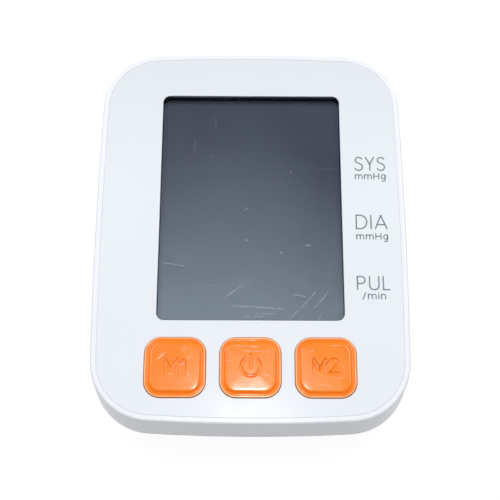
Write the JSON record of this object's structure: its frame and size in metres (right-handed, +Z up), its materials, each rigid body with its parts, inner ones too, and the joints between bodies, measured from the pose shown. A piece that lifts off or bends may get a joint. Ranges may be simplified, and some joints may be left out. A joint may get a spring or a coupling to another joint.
{
  "type": "digital blood pressure monitor",
  "caption": "Wedge-shaped tabletop digital blood pressure monitor with a large display window, three square orange buttons, pump, battery bay and hose socket.",
  "frame": {"origin": "on the table, under the middle of the case", "axes": "+Z up, +Y from the buttons towards the top of the display, +X to the right as the user faces the display"},
  "size_m": [0.1048, 0.132, 0.0444],
  "materials": {
    "white_case": "smooth satin",
    "white_panel": "glossy",
    "clear_lens": "polished",
    "black_foam": "matt",
    "display_glass": "polished",
    "natural_plastic": "moulded",
    "conductive_rubber": "matt",
    "orange_plastic": "high gloss",
    "black_plastic": "moulded",
    "green_board": "lacquered",
    "steel": "plated",
    "nickel": "plated",
    "cell_jacket": "printed sleeve",
    "silicone": "translucent",
    "grey_rubber": "matt",
    "grey_plastic": "moulded"
  },
  "bodies": {
    "case": {"front_cover": "white_case", "rear_cover": "white_case", "face_panel": "white_panel", "display_window": "clear_lens", "display_gasket": "black_foam", "lcd_glass": "display_glass", "lcd_holder": "natural_plastic", "air_manifold": "natural_plastic", "zebra_strip_upper": "conductive_rubber", "zebra_strip_lower": "conductive_rubber", "memory_1_switch": "black_plastic", "power_switch": "black_plastic", "memory_2_switch": "black_plastic", "controller_chip": "black_plastic", "buzzer": "black_plastic", "pump_head": "black_plastic", "pump_valve_cap": "black_plastic", "adaptor_jack": "black_plastic", "main_board": "green_board", "smoothing_capacitor": "steel", "pump_motor": "steel", "release_valve": "steel", "case_screw_1": "steel", "case_screw_2": "steel", "case_screw_3": "steel", "case_screw_4": "steel", "board_screw_1": "steel", "board_screw_2": "steel", "board_screw_3": "steel", "board_screw_4": "steel", "negative_terminal": "nickel", "positive_terminal": "nickel", "front_bridge_contact": "nickel", "rear_bridge_contact_1": "nickel", "rear_bridge_contact_2": "nickel", "battery_cell_1": "cell_jacket", "battery_cell_2": "cell_jacket", "battery_cell_3": "cell_jacket", "battery_cell_4": "cell_jacket", "socket_hose": "silicone", "valve_hose": "silicone", "pump_hose": "silicone", "sensor_hose": "silicone", "pump_cushion": "grey_rubber", "foot_1": "grey_rubber", "foot_2": "grey_rubber", "foot_3": "grey_rubber", "foot_4": "grey_rubber", "pressure_sensor": "grey_plastic", "air_socket": "grey_plastic"},
    "memory_1_key": {"memory_1_button": "orange_plastic", "memory_1_switch_plunger": "natural_plastic"},
    "power_key": {"power_button": "orange_plastic", "power_switch_plunger": "natural_plastic"},
    "memory_2_key": {"memory_2_button": "orange_plastic", "memory_2_switch_plunger": "natural_plastic"},
    "battery_cover": {"battery_door": "white_case"},
    "pump_rotor": {"pump_crank": "nickel"}
  },
  "joints": [
    {"name": "memory_1_press", "type": "slide", "parent": "case", "child": "memory_1_key", "axis": [0, 0.1392, -0.9903], "range_m": [0, 0.0008], "stiffness_N_per_m": 1500},
    {"name": "power_press", "type": "slide", "parent": "case", "child": "power_key", "axis": [0, 0.1392, -0.9903], "range_m": [0, 0.0008], "stiffness_N_per_m": 1500},
    {"name": "memory_2_press", "type": "slide", "parent": "case", "child": "memory_2_key", "axis": [0, 0.1392, -0.9903], "range_m": [0, 0.0008], "stiffness_N_per_m": 1500},
    {"name": "battery_door_slide", "type": "slide", "parent": "case", "child": "battery_cover", "axis": [0, 1, 0], "range_m": [0, 0.05]},
    {"name": "pump_spin", "type": "hinge", "parent": "case", "child": "pump_rotor", "pos_m": [0, -0.0145, 0.0138], "axis": [1, 0, 0], "continuous": true}
  ]
}
